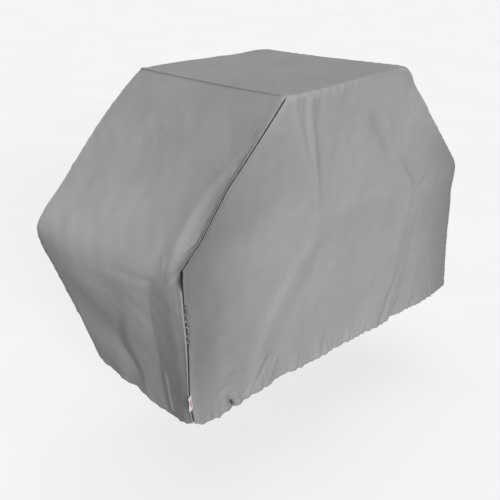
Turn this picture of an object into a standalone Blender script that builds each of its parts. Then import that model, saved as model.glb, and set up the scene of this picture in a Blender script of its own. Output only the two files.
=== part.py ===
"""A fitted fabric cover for a wheeled gas grill with two side shelves, as it hangs in use.

The cover is a hexagonal tube of cloth that is open at the bottom: a level top over the hood, slopes down to
the ends of the shelves, and skirts that hang from there. Units are metres, +Z is up, +X is to the right as
seen from the front, and +Y is to the back. The origin is the middle of the underside of the top, where the
hood carries the cover.
"""

import math

import bmesh
import bpy

# Overall sizes of the sewn cover
WIDTH = 1.372
DEPTH = 0.635
HEIGHT = 0.918
TOP_WIDTH = 0.585
SHELF_DROP = 0.404
BEND_RADIUS = 0.050

# How far the left skirt's lower corners hang inside the shelf's end
LEFT_FRONT_TUCK = 0.021
LEFT_BACK_TUCK = 0.139

# Cloth and trim
CLOTH = 0.0012
GAP = 0.0003
SEAM_SETBACK = 0.0010
BINDING_WIDTH = 0.012
BINDING_THICKNESS = 0.0020
TOP_BINDING_SETBACK = 0.0045
CASING_HEIGHT = 0.026
CASING_BULGE = 0.0080
CASING_CLOTH = 0.0010
CASING_END_SETBACK = 0.016
ELASTIC_DIAMETER = 0.0045
ELASTIC_CORNER_RADIUS = 0.012
LABEL_WIDTH = 0.025
LABEL_LENGTH = 0.060
LABEL_THICKNESS = 0.0016
LABEL_LEVEL = -0.822

# How finely the panels are divided
BEND_STEPS = 6
SLOPE_STEPS = 3
SKIRT_STEPS = 5
PANEL_COLUMNS = 8
CORNER_STEPS = 5

LEFT = -1
RIGHT = 1
FRONT = -1
BACK = 1

UNDERSIDE = 0.0
CREST = UNDERSIDE + CLOTH
SHELF_LEVEL = CREST - SHELF_DROP
HEM_LEVEL = CREST - HEIGHT
ELASTIC_LEVEL = HEM_LEVEL + CASING_HEIGHT / 2
SLOPE_ANGLE = math.atan2(SHELF_DROP, (WIDTH - TOP_WIDTH) / 2)

# The top and side panels reach from the front binding to the back one
BAND_HALF_DEPTH = DEPTH / 2 - CLOTH - BINDING_THICKNESS - 2 * GAP

COLLECTION_NAME = "grill_cover"


def clear_scene():
    for thing in list(bpy.data.objects):
        bpy.data.objects.remove(thing, do_unlink=True)


def make_material(name, colour, roughness):
    material = bpy.data.materials.new(name)
    material.use_nodes = True
    shader = material.node_tree.nodes["Principled BSDF"]
    shader.inputs["Base Color"].default_value = (*colour, 1.0)
    shader.inputs["Roughness"].default_value = roughness
    shader.inputs["Metallic"].default_value = 0.0
    return material


def link_part(name, data, material):
    """Puts one finished mesh or curve in the cover's collection as an object of that name."""
    part = bpy.data.objects.new(name, data)
    data.materials.append(material)
    bpy.data.collections[COLLECTION_NAME].objects.link(part)
    return part


def mix(start, end, share):
    return start + (end - start) * share


# The outline of the cover, seen from the front


def bend_arc():
    """Points round the soft bend at the end of a shelf, as (distance out from the middle, level)."""
    turn = math.pi / 2 - SLOPE_ANGLE
    reach = BEND_RADIUS * math.tan(turn / 2)
    centre = (WIDTH / 2 - BEND_RADIUS, SHELF_LEVEL - reach)
    points = []
    for step in range(BEND_STEPS + 1):
        angle = turn * (1 - step / BEND_STEPS)
        points.append(
            (
                centre[0] + BEND_RADIUS * math.cos(angle),
                centre[1] + BEND_RADIUS * math.sin(angle),
            )
        )
    return points


def side_stations():
    """Points down one side from the top's edge to the hem, as (distance out from the middle, level)."""
    arc = bend_arc()
    slope_top = (TOP_WIDTH / 2, CREST)
    hem = (WIDTH / 2, HEM_LEVEL)
    stations = []
    for step in range(SLOPE_STEPS):
        share = step / SLOPE_STEPS
        stations.append((mix(slope_top[0], arc[0][0], share), mix(slope_top[1], arc[0][1], share)))
    stations += arc
    for step in range(1, SKIRT_STEPS + 1):
        share = step / SKIRT_STEPS
        stations.append((mix(arc[-1][0], hem[0], share), mix(arc[-1][1], hem[1], share)))
    return stations


def tuck(side, y, z):
    """How far in the skirt hangs at this place: only the left one hangs in, more so at the back."""
    if side == RIGHT or z > SHELF_LEVEL:
        return 0.0
    drop_share = (SHELF_LEVEL - z) / (SHELF_LEVEL - HEM_LEVEL)
    back_share = y / DEPTH + 0.5
    return drop_share * mix(LEFT_FRONT_TUCK, LEFT_BACK_TUCK, back_share)


def outline_at(side, y):
    """The outline's points down one side at this depth, as (x, z)."""
    return [(side * (out - tuck(side, y, z)), z) for out, z in side_stations()]


def seam_path(y):
    """The seam round the front or back panel, from the left hem over the top to the right hem, as (x, z)."""
    return list(reversed(outline_at(LEFT, y))) + outline_at(RIGHT, y)


def offset_path(path, distance):
    """The path moved to its right-hand side by a distance, with mitred corners."""
    moved = []
    for index, (x, z) in enumerate(path):
        before = path[max(index - 1, 0)]
        after = path[min(index + 1, len(path) - 1)]
        normals = []
        for start, end in ((before, (x, z)), ((x, z), after)):
            length = math.hypot(end[0] - start[0], end[1] - start[1])
            if length > 0:
                normals.append(((end[1] - start[1]) / length, -(end[0] - start[0]) / length))
        mean = (
            sum(normal[0] for normal in normals) / len(normals),
            sum(normal[1] for normal in normals) / len(normals),
        )
        scale = distance / (mean[0] ** 2 + mean[1] ** 2)
        moved.append((x + mean[0] * scale, z + mean[1] * scale))
    return moved


# Cloth pieces


def cloth_from_grid(name, columns, rows, place, thickness, offset, material):
    """A grid of columns by rows faces, each corner put at place(u, v), and thickened into cloth."""
    shape = bmesh.new()
    bmesh.ops.create_grid(shape, x_segments=columns, y_segments=rows, size=0.5)
    for corner in shape.verts:
        corner.co = place(corner.co.x + 0.5, corner.co.y + 0.5)
    mesh = bpy.data.meshes.new(name)
    shape.to_mesh(mesh)
    shape.free()
    part = link_part(name, mesh, material)
    thicken = part.modifiers.new("cloth thickness", "SOLIDIFY")
    thicken.thickness = thickness
    thicken.offset = offset
    thicken.use_even_offset = True
    return part


def make_end_panel(name, end, material):
    """The front or back panel. Its outline is the cover's own, and its thickness goes inwards."""
    y = end * DEPTH / 2
    left = outline_at(LEFT, y)
    right = outline_at(RIGHT, y)
    rows = len(left) - 1

    def place(u, v):
        row = round((1 - v) * rows)
        return (mix(left[row][0], right[row][0], u), y, left[row][1])

    return cloth_from_grid(name, PANEL_COLUMNS, rows, place, CLOTH, end, material)


def make_side_panel(name, side, material):
    """One side's slope and skirt in a single piece, set back from the panels that it is sewn to."""
    rows = len(side_stations()) - 1

    def place(u, v):
        y = mix(-BAND_HALF_DEPTH, BAND_HALF_DEPTH, u)
        row = round((1 - v) * rows)
        x, z = outline_at(side, y)[row]
        if row == 0:
            x += side * SEAM_SETBACK
            z -= SEAM_SETBACK
        return (x, y, z)

    return cloth_from_grid(name, PANEL_COLUMNS, rows, place, CLOTH, -side, material)


def make_top_panel(material):
    half_width = TOP_WIDTH / 2 - SEAM_SETBACK / 2

    def place(u, v):
        return (mix(-half_width, half_width, u), mix(-BAND_HALF_DEPTH, BAND_HALF_DEPTH, v), CREST)

    return cloth_from_grid("top_panel", PANEL_COLUMNS, PANEL_COLUMNS, place, CLOTH, -1, material)


# Bindings, which wrap the seam allowances


def make_end_binding(name, end, material):
    """The tape in the front or back seam. It lies against the end panel, which closes the band's edges."""
    y = end * (DEPTH / 2 - CLOTH - GAP)
    seam = seam_path(y)
    inner = offset_path(seam, BINDING_WIDTH)
    columns = len(seam) - 1

    def place(u, v):
        column = round(u * columns)
        x, z = seam[column] if v < 0.5 else inner[column]
        return (x, y, z)

    return cloth_from_grid(name, columns, 1, place, BINDING_THICKNESS, -end, material)


def make_top_binding(name, side, material):
    """The tape in the seam between the top and one side. It is turned down and lies under the slope."""
    outward = (math.cos(SLOPE_ANGLE), -math.sin(SLOPE_ANGLE))
    inward = (-math.sin(SLOPE_ANGLE), -math.cos(SLOPE_ANGLE))
    depth = CLOTH + GAP

    def place(u, v):
        along = TOP_BINDING_SETBACK + (1 - v) * BINDING_WIDTH
        x = TOP_WIDTH / 2 + along * outward[0] + depth * inward[0]
        z = CREST + along * outward[1] + depth * inward[1]
        return (side * x, mix(-BAND_HALF_DEPTH, BAND_HALF_DEPTH, u), z)

    return cloth_from_grid(name, PANEL_COLUMNS, 1, place, BINDING_THICKNESS, -side, material)


# Hem casings and the elastic inside them


def casing_section(share):
    """The casing's section, from its lower edge to its upper, as (distance in from the cloth, height)."""
    bulge = CASING_BULGE * math.sin(math.pi * share)
    return (GAP + bulge, CASING_HEIGHT * share)


def make_end_casing(name, end, material):
    """The strip along the lower edge of the front or back panel."""
    left = outline_at(LEFT, end * DEPTH / 2)[-1][0] + CASING_END_SETBACK
    right = WIDTH / 2 - CASING_END_SETBACK

    def place(u, v):
        inward, height = casing_section(v)
        y = end * (DEPTH / 2 - CLOTH - inward)
        return (mix(left, right, u), y, HEM_LEVEL + height)

    return cloth_from_grid(name, PANEL_COLUMNS, CORNER_STEPS, place, CASING_CLOTH, end, material)


def make_side_casing(name, side, material):
    """The strip along the lower edge of one side panel."""
    half_length = DEPTH / 2 - CASING_END_SETBACK

    def place(u, v):
        inward, height = casing_section(v)
        y = mix(-half_length, half_length, u)
        z = HEM_LEVEL + height
        out = WIDTH / 2 - tuck(side, y, z)
        return (side * (out - 2 * CLOTH - inward), y, z)

    return cloth_from_grid(name, PANEL_COLUMNS, CORNER_STEPS, place, CASING_CLOTH, -side, material)


def elastic_corners():
    """The four corners of the elastic's loop, as (x, y), inside the middle of each casing."""
    inset = CLOTH + GAP + CASING_BULGE / 2
    half_depth = DEPTH / 2 - inset
    corners = []
    for side, end in ((LEFT, FRONT), (RIGHT, FRONT), (RIGHT, BACK), (LEFT, BACK)):
        out = WIDTH / 2 - tuck(side, end * DEPTH / 2, ELASTIC_LEVEL)
        corners.append((side * (out - inset - CLOTH), end * half_depth))
    return corners


def rounded_loop(corners, radius):
    """A closed loop through the corners, each one cut across and rounded by a quadratic curve."""
    points = []
    for index, corner in enumerate(corners):
        neighbours = (corners[index - 1], corners[(index + 1) % len(corners)])
        ends = []
        for other in neighbours:
            length = math.hypot(other[0] - corner[0], other[1] - corner[1])
            share = radius / length
            ends.append((mix(corner[0], other[0], share), mix(corner[1], other[1], share)))
        for step in range(CORNER_STEPS + 1):
            t = step / CORNER_STEPS
            weights = ((1 - t) ** 2, 2 * t * (1 - t), t**2)
            points.append(
                tuple(
                    weights[0] * ends[0][axis] + weights[1] * corner[axis] + weights[2] * ends[1][axis]
                    for axis in (0, 1)
                )
            )
    return points


def make_elastic(material):
    """The elastic is one closed ring, so its tube has no ends to cap."""
    curve = bpy.data.curves.new("hem_elastic", "CURVE")
    curve.dimensions = "3D"
    curve.bevel_depth = ELASTIC_DIAMETER / 2
    curve.bevel_resolution = 2
    loop = rounded_loop(elastic_corners(), ELASTIC_CORNER_RADIUS)
    spline = curve.splines.new("POLY")
    spline.points.add(len(loop) - 1)
    for point, (x, y) in zip(spline.points, loop):
        point.co = (x, y, ELASTIC_LEVEL, 1.0)
    spline.use_cyclic_u = True
    return link_part("hem_elastic", curve, material)


def make_label(material):
    """A folded tag that sticks out of the front-left seam, a little above the hem."""
    y = -DEPTH / 2 + LABEL_THICKNESS / 2
    seam_x = -WIDTH / 2 + tuck(LEFT, -DEPTH / 2, LABEL_LEVEL + LABEL_LENGTH / 2)
    outer_x = seam_x - GAP

    def place(u, v):
        x = outer_x - u * LABEL_WIDTH
        return (x, y, LABEL_LEVEL + (v - 0.5) * LABEL_LENGTH)

    return cloth_from_grid("side_label", 2, 4, place, LABEL_THICKNESS, 0, material)


def main():
    clear_scene()
    collection = bpy.data.collections.new(COLLECTION_NAME)
    bpy.context.scene.collection.children.link(collection)
    cover_cloth = make_material("cover_cloth", (0.30, 0.30, 0.30), 0.85)
    binding_tape = make_material("binding_tape", (0.16, 0.16, 0.16), 0.90)
    elastic_rubber = make_material("elastic_rubber", (0.05, 0.05, 0.05), 0.70)
    label_cloth = make_material("label_cloth", (0.85, 0.85, 0.83), 0.70)

    make_top_panel(cover_cloth)
    make_end_panel("front_panel", FRONT, cover_cloth)
    make_end_panel("back_panel", BACK, cover_cloth)
    make_side_panel("left_side_panel", LEFT, cover_cloth)
    make_side_panel("right_side_panel", RIGHT, cover_cloth)
    make_end_binding("front_seam_binding", FRONT, binding_tape)
    make_end_binding("back_seam_binding", BACK, binding_tape)
    make_top_binding("left_top_binding", LEFT, binding_tape)
    make_top_binding("right_top_binding", RIGHT, binding_tape)
    make_end_casing("front_hem_casing", FRONT, cover_cloth)
    make_end_casing("back_hem_casing", BACK, cover_cloth)
    make_side_casing("left_hem_casing", LEFT, cover_cloth)
    make_side_casing("right_hem_casing", RIGHT, cover_cloth)
    make_elastic(elastic_rubber)
    make_label(label_cloth)


main()
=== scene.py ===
# The looks of the grill cover: five draped cloth panels with their seams, gathers and folds, the hem with
# its casing, elastic and stitching, the bindings inside the seams, and a plain woven label, all built round
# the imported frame. Lengths are metres where nothing else is said. +X is to the right seen from the front,
# +Y is to the back and +Z is up.

import math

import bmesh
import bpy
import numpy as np
from mathutils import Matrix, Vector


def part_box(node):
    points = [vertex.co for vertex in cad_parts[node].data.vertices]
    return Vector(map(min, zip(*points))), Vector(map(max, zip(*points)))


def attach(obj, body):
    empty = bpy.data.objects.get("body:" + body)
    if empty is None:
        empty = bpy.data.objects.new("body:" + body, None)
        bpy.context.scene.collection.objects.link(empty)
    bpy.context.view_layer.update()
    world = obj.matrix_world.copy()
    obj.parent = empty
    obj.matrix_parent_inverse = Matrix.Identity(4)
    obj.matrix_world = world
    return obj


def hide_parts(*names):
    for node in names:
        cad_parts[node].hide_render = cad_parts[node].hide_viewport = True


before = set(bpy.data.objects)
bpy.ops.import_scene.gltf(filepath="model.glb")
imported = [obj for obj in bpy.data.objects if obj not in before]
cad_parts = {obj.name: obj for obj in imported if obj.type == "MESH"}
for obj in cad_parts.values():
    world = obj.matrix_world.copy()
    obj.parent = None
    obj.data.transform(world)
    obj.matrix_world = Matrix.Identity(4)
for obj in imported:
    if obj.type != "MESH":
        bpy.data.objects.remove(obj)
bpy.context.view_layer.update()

# The sewn shape, read from the frame
front_low, front_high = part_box("front_panel")
top_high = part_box("top_panel")[1]
label_low, label_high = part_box("side_label")
HALF_WIDTH = front_high.x
HALF_DEPTH = -front_low.y
HALF_TOP = top_high.x
CREST = top_high.z
HEM = front_low.z
HEIGHT = CREST - HEM
SHELF_SHARE = 0.44
SHELF = CREST - SHELF_SHARE * HEIGHT
SLOPE_LENGTH = math.hypot(HALF_WIDTH - HALF_TOP, CREST - SHELF)
SKIRT_LENGTH = SHELF - HEM
SIDE_LENGTH = SLOPE_LENGTH + SKIRT_LENGTH
END_SCALE = (HALF_WIDTH, HEIGHT)
SIDE_SCALE = (HALF_DEPTH, SIDE_LENGTH)
GROUND = HEM - 0.325
MM = 0.001

LEFT, RIGHT, FRONT, BACK = -1, 1, -1, 1

# Cloth and trim
CLOTH_THICKNESS = 0.0011
STEP = 0.005
SEAM_SPACING = (0.0, 0.0011, 0.0022, 0.0034, 0.0048, 0.0066, 0.0088, 0.0116, 0.0155)
HEM_SPACING = (0.0, 0.0010, 0.0030, 0.0070, 0.0120, 0.0170, 0.0205, 0.0225, 0.0240, 0.0255, 0.0275, 0.0320)
HEM_STITCH = 0.0240
CASING_HEIGHT = 0.022
CASING_BULGE = 0.0060
CASING_END = 0.016
BINDING_WIDTH = 0.012
BINDING_THICKNESS = 0.0022
ELASTIC_RADIUS = 0.0022
PUCKER_PITCH = 0.013
PUCKER_REACH = 0.008
LIP_PLACE = 0.0055
STITCH_PITCH = 0.0042
STITCH_LENGTH = 0.0031
STITCH_RADIUS = 0.0004
STITCH_SIDES = 6
# A stitch's rings: (place along half its length, share of its radius, how far out in radii)
STITCH_PROFILE = ((-1, 0.25, -0.9), (-0.75, 0.8, -0.1), (0, 1, 0.35), (0.75, 0.8, -0.1), (1, 0.25, -0.9))
CASING_THICKNESS = 0.0008
CORNER_PULL = 0.0060
CORNER_REACH = 0.015
# The points that a smooth curve gets between two of its given points
PER_SPAN = 16

# The front's right-hand edge turns back, gently at first and then round a tighter bend
FRONT_RIGHT_BEND = 0.016
FRONT_RIGHT_EASE = 0.024
FRONT_RIGHT_REACH = (0.150, 0.270)

# Each seam from the top's corner to the hem. The pairs by themselves move its corners at the top, the shelf
# and the hem by (outwards, up) in mm. The rows of pairs bow it outwards between them, as (per cent of the
# way, mm).
SEAM_COURSES = {
    (LEFT, FRONT): (
        (0, 0),
        ((17, 1), (28, 3), (40, 5.5), (55, 10), (64.5, 6), (75.3, 0), (83, -4.5), (92, -2)),
        (10, -2),
        ((10, 3), (24.1, 3), (50.3, 1), (80.5, 8)),
        (-21, 24),
    ),
    (LEFT, BACK): (
        (4, 1),
        ((15, 12), (35.4, 20), (59.5, 17), (76.8, 12), (89.5, 14)),
        (48, -34),
        ((13.6, 13), (27.2, 9), (54.6, 6), (84.3, 1)),
        (-136, -12),
    ),
    (RIGHT, FRONT): (
        (2, 15),
        ((10, 12), (25, 18), (42, 18), (60, 12), (72, 9), (88.4, 8)),
        (31, -2),
        ((8, 4), (20, -2), (33.4, 4), (60, 6), (80.3, 2)),
        (38, 16),
    ),
    (RIGHT, BACK): (
        (0, 4),
        ((12, 5), (40, 9), (70, 2), (90, 5)),
        (4, -6),
        ((12, 4), (40, -4), (75, 4)),
        (-12, 12),
    ),
}
# The one seam that is sharp at the shelf, where the others are rounded
SHARP_SEAM = (LEFT, FRONT)

# The hem's own line, as (per cent of the way from the panel's first corner, mm above the sewn hem) and, on
# the left, how many mm out it is
FRONT_HEM = (
    (2.6, 5), (4.6, 5), (7.1, -3), (9.6, 4), (13.3, 4), (17.7, 18), (20.2, 17), (26.2, 20), (31.7, 17),
    (36.8, 13), (42.8, 14), (46.8, 16), (52.3, 9), (58.4, 12), (66.9, 4), (71.4, 14), (74.9, 13), (84, 4),
    (92.5, 5), (97.1, 11),
)
BACK_HEM = ((10, -4), (22, 6), (34, -3), (47, 5), (60, -5), (72, 4), (85, -3), (94, 6))
LEFT_HEM = (
    (3.5, 14, 4), (7.3, 3, 8), (20, -24, 12), (32.7, -28, 16), (45, -27, 20), (56.3, -26, 23),
    (68.1, -26, 26), (79, -26, 24), (87, -26, 16),
)
RIGHT_HEM = ((8, 12), (20, 0), (35, -6), (50, 3), (65, -5), (80, 2), (92, 9))


# Curves and spacing


def catmull_rom(points, per_span=PER_SPAN):
    """A smooth curve through the points."""
    p = np.asarray(points, float)
    ends = np.vstack([2 * p[0] - p[1], p, 2 * p[-1] - p[-2]])
    t = np.linspace(0, 1, per_span, endpoint=False)[:, None]
    spans = []
    for a, b, c, d in zip(ends, ends[1:], ends[2:], ends[3:]):
        bend, twist = 2 * a - 5 * b + 4 * c - d, 3 * b - a - 3 * c + d
        spans.append(0.5 * (2 * b + (c - a) * t + bend * t**2 + twist * t**3))
    return np.vstack([*spans, p[-1:]])


def along(curve):
    """The distance to each point of a curve from its start."""
    return np.concatenate([[0.0], np.cumsum(np.linalg.norm(np.diff(curve, axis=0), axis=1))])


def at_shares(curve, shares):
    """Points at these shares of the curve's length."""
    distance = along(curve)
    wanted = np.asarray(shares) * distance[-1]
    return np.stack([np.interp(wanted, distance, curve[:, k]) for k in range(curve.shape[1])], axis=1)


def graded(length, start_spacing=(0.0,), end_spacing=(0.0,)):
    """Shares of a length, close together near its ends and a step apart between."""
    start, end = np.array(start_spacing), length - np.array(end_spacing)[::-1]
    count = max(2, round((end[0] - start[-1]) / STEP))
    middle = np.linspace(start[-1], end[0], count + 1)[1:-1]
    return np.concatenate([start, middle, end]) / length


ACROSS = graded(2 * HALF_WIDTH, SEAM_SPACING, SEAM_SPACING)
DEEP = graded(2 * HALF_DEPTH, SEAM_SPACING, SEAM_SPACING)
DOWN_SLOPE = graded(SLOPE_LENGTH, SEAM_SPACING)
DOWN_SKIRT = graded(SKIRT_LENGTH, (0.0,), HEM_SPACING)
HEM_ROWS = len(HEM_SPACING)


def down_panel(slope, skirt):
    """Two curves that meet at the shelf, as points at the panels' rows."""
    return np.vstack([at_shares(slope, DOWN_SLOPE), at_shares(skirt, DOWN_SKIRT)[1:]])


def smooth_step(x, low, high):
    t = np.clip((x - low) / (high - low), 0, 1)
    return t * t * (3 - 2 * t)


def wander(points, scale, seed, waves=16):
    """Smooth noise of about unit size, whose features are about a scale across."""
    random = np.random.default_rng(seed)
    total = np.zeros(points.shape[:-1])
    for _ in range(waves):
        direction = random.normal(size=points.shape[-1])
        direction *= random.uniform(0.5, 1.5) / (scale * np.linalg.norm(direction))
        total += np.sin(points @ direction * math.pi + random.uniform(0, 2 * math.pi))
    return total / math.sqrt(waves / 2)


def unit(vectors):
    return vectors / np.maximum(np.linalg.norm(vectors, axis=-1, keepdims=True), 1e-12)


# Seams


def seam_curve(side, end):
    """The seam's points at the panels' rows. The shelf's end falls at the same row on every seam."""
    top_move, slope_bows, shelf_move, skirt_bows, hem_move = SEAM_COURSES[side, end]
    places = ((HALF_TOP, CREST, top_move), (HALF_WIDTH, SHELF, shelf_move), (HALF_WIDTH, HEM, hem_move))
    top, shelf, hem = (
        np.array((side * (x + out * MM), end * HALF_DEPTH, z + up * MM)) for x, z, (out, up) in places
    )
    slope_line, skirt_line = shelf - top, hem - shelf
    slope_out = unit(np.array((-side * slope_line[2], 0.0, abs(slope_line[0])))) * MM
    skirt_out = np.array((side, 0.0, 0.0)) * MM
    slope = [top, *(top + share / 100 * slope_line + bow * slope_out for share, bow in slope_bows), shelf]
    skirt = [shelf, *(shelf + share / 100 * skirt_line + bow * skirt_out for share, bow in skirt_bows), hem]
    if (side, end) == SHARP_SEAM:
        slope_curve, skirt_curve = catmull_rom(slope), catmull_rom(skirt)
    else:
        whole = catmull_rom(slope + skirt[1:])
        cut = PER_SPAN * (len(slope) - 1)
        slope_curve, skirt_curve = whole[: cut + 1], whole[cut:]
    return down_panel(slope_curve, skirt_curve)


def edge_curve(start, end, bows, shares, level=None):
    """An edge between two corners, raised at places on its way over its chord, or over a level."""
    points = [start]
    for share, rise, *out in bows:
        point = start + share / 100 * (end - start)
        point[2] = (point[2] if level is None else level) + rise * MM
        if out:
            point[0] -= out[0] * MM
        points.append(point)
    points.append(end)
    return at_shares(catmull_rom(points), shares)


class Seam:
    """A sewn edge that two panels share, and how far it is drawn in over a wide round and a groove."""

    def __init__(self, points, outward_a, outward_b, round_depth, groove_depth, to_hem=False):
        self.points = points
        self.inward = np.broadcast_to(-unit(outward_a + outward_b), points.shape)
        self.place = along(points)
        self.ease = smooth_step(self.place, 0, 0.022)
        if not to_hem:
            self.ease = self.ease * smooth_step(self.place[-1] - self.place, 0, 0.022)
        self.round_depth = self.ease * round_depth
        self.groove_depth = self.ease * groove_depth


def side_seam(curve, side, end, round_depth, groove_depth):
    tangent = unit(np.gradient(curve, axis=0))
    outward = np.stack([side * np.abs(tangent[:, 2]), np.zeros(len(curve)), np.abs(tangent[:, 0])], axis=1)
    outward[:, 2] *= np.where(side * tangent[:, 0] > 0, 1, -1)
    return Seam(curve, outward, np.array((0.0, end, 0.0)), round_depth, groove_depth, to_hem=True)


# Folds


class Panel:
    """One cloth panel as a grid of points, with the distances that its folds and seams are placed by."""

    def __init__(self, name, points, outward, plan):
        self.name = name
        self.points = points
        steps_across = np.linalg.norm(np.diff(points, axis=1), axis=2)
        steps_down = np.linalg.norm(np.diff(points, axis=0), axis=2)
        self.from_left = np.pad(np.cumsum(steps_across, axis=1), ((0, 0), (1, 0)))
        self.from_top = np.pad(np.cumsum(steps_down, axis=0), ((1, 0), (0, 0)))
        self.from_right = self.from_left[:, -1:] - self.from_left
        self.from_hem = self.from_top[-1:] - self.from_top
        self.outward = np.array(outward, float)
        self.plan = plan
        # painted highlight and painted shade, from 0 to 1 at each point
        self.painted_highlight = np.zeros(points.shape[:2])
        self.shade = np.zeros(points.shape[:2])

    def normals(self):
        normal = unit(np.cross(np.gradient(self.points, axis=1), np.gradient(self.points, axis=0)))
        return normal if (normal @ self.outward).mean() > 0 else -normal

    def lift(self, amount):
        self.points = self.points + amount[..., None] * self.normals()

    def darken(self, amount):
        self.shade = np.maximum(self.shade, amount)

    def paint_highlight(self, amount):
        self.painted_highlight = np.maximum(self.painted_highlight, amount)

    def inside(self, reach):
        """0 at the seams and 1 farther than a reach from them."""
        nearest = np.minimum(np.minimum(self.from_left, self.from_right), self.from_top)
        return smooth_step(nearest, 0, reach)


def ridge(plan, path, width, height, fades=(0.3, 0.3), pointed=0.0):
    """How far a fold along a path lifts the cloth. Its width is one, or (left of the path, right of it)."""
    curve = catmull_rom(path, 6)
    length = along(curve)
    nearest = np.full(plan.shape[:-1], np.inf)
    share = np.zeros_like(nearest)
    hand = np.zeros_like(nearest)
    for start, end, gone in zip(curve, curve[1:], length):
        line = end - start
        size = np.linalg.norm(line)
        offset = plan - start
        t = np.clip(offset @ line / size**2, 0, 1)
        distance = np.linalg.norm(offset - t[..., None] * line, axis=-1)
        closer = distance < nearest
        nearest = np.where(closer, distance, nearest)
        share = np.where(closer, (gone + t * size) / length[-1], share)
        hand = np.where(closer, line[0] * offset[..., 1] - line[1] * offset[..., 0], hand)
    left_width, right_width = np.broadcast_to(width, 2)
    spread = nearest / np.where(hand > 0, left_width, right_width)
    profile = (1 - pointed) * np.exp(-(spread**2)) + pointed * np.exp(-1.3 * spread)
    taper = smooth_step(share, 0, max(fades[0], 1e-6)) * smooth_step(1 - share, 0, max(fades[1], 1e-6))
    return height * taper * profile


def on_panel(path, scale):
    """A path's points in metres, from per cent of the panel."""
    return [(x * scale[0] / 100, -y * scale[1] / 100) for x, y in path]


def between(plan, lines, scale):
    """How far the cloth is lifted between lines that run down it."""
    across, down = 100 * plan[..., 0] / scale[0], -100 * plan[..., 1] / scale[1]
    places, heights = [], []
    for line in lines:
        curve = catmull_rom(line, 8)
        order = np.maximum.accumulate(curve[:, 1])
        places.append(np.interp(down, order, curve[:, 0]))
        heights.append(np.interp(down, order, curve[:, 2], left=0.0) * MM)
    total = heights[0]
    for k in range(len(lines) - 1):
        share = np.clip((across - places[k]) / (places[k + 1] - places[k]), 0, 1)
        share = 0.85 * share + 0.15 * smooth_step(share, 0, 1)
        total = total + (heights[k + 1] - heights[k]) * share
    return total


def softened(values, passes):
    for _ in range(passes):
        wide = np.pad(values, 1, mode="edge")
        wide = (wide[:-2] + 2 * wide[1:-1] + wide[2:]) / 4
        values = (wide[:, :-2] + 2 * wide[:, 1:-1] + wide[:, 2:]) / 4
    return values


# Broad folds, as lines that run down the panel, in order of X or, on the side panels, from front to back. A
# point is (across from -100 to 100, down from 0 at the top to 100 at the hem, height in mm), and the cloth
# runs nearly straight from one line to the next.
LEFT_SKIRT_LINES = (
    # beside the seam
    ((-98.5, 54, 0), (-98.5, 75, 0), (-98.5, 100, 0)),
    # the sharp edge that falls from the shelf's corner
    (
        (-76, 56, 0), (-79, 58.5, -0.6), (-83.5, 63, -2.8), (-88, 70, -4.4), (-95.2, 79, -3.2),
        (-97.4, 86, -2.4), (-97.6, 93, -2.4), (-97.6, 100, -1.6),
    ),
    # the hollow behind it
    (
        (-60, 57, 0), (-59, 60, -6), (-57, 64, -13), (-52, 72, -22), (-51, 80, -26.5), (-47.5, 86, -30),
        (-46.5, 92, -29.5), (-50, 100, -22),
    ),
    # the long light face, up to a second edge
    (
        (-34, 58, 0), (-30, 64, -8), (-25, 70, -14), (-19, 76, -18), (-8, 82, -22), (-3, 86, -25.5),
        (-8, 90, -28), (-14, 94, -28), (-20, 100, -21),
    ),
    # the second hollow
    (
        (-14, 58, 0), (-11, 64, -8.5), (-7, 70, -15), (-3, 76, -20.5), (8, 82, -28.5), (19, 86, -37),
        (23, 90, -42), (18, 93.5, -40), (0, 96.5, -31), (-8, 100, -22),
    ),
    # the light streak near the back, and the roll of cloth behind it
    ((44, 60, 0), (54, 75, -12), (62, 86, -20), (60, 93, -20), (52, 100, -13)),
    ((82, 60, 0), (84, 75, 0), (83, 86, -1), (82, 100, -1)),
    ((97, 60, 0), (97, 75, -3.5), (97, 86, -5), (97, 100, -3)),
)
LEFT_SLOPE_LINES = (
    ((-99.9, 2, 0), (-99.9, 30, 0), (-99.9, 56, 0)),
    (
        (-94.5, 10, 0), (-94, 20, -2), (-93.8, 30, -5), (-93.2, 42, -7.5), (-93.5, 49, -8), (-94, 54, -4),
        (-94, 57.5, 0),
    ),
    (
        (-88, 10, 0), (-88.5, 22, -1.5), (-85, 30, -4), (-83.8, 40, -5), (-85, 47, -5), (-88.5, 53.5, -3),
        (-90, 57, 0),
    ),
    (
        (-79, 12, 0), (-80, 24, 1.4), (-73.5, 31, 3.6), (-71.8, 40, 5.2), (-74, 47, 5.6), (-79, 53, 4),
        (-83, 57, 0.5),
    ),
    ((-60, 12, 0), (-58, 30, 2), (-56, 42, 3), (-59, 50, 2), (-62, 56, 0)),
    ((-5, 12, 0), (-5, 35, -1), (-5, 50, 0), (-5, 56, 0)),
)
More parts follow.
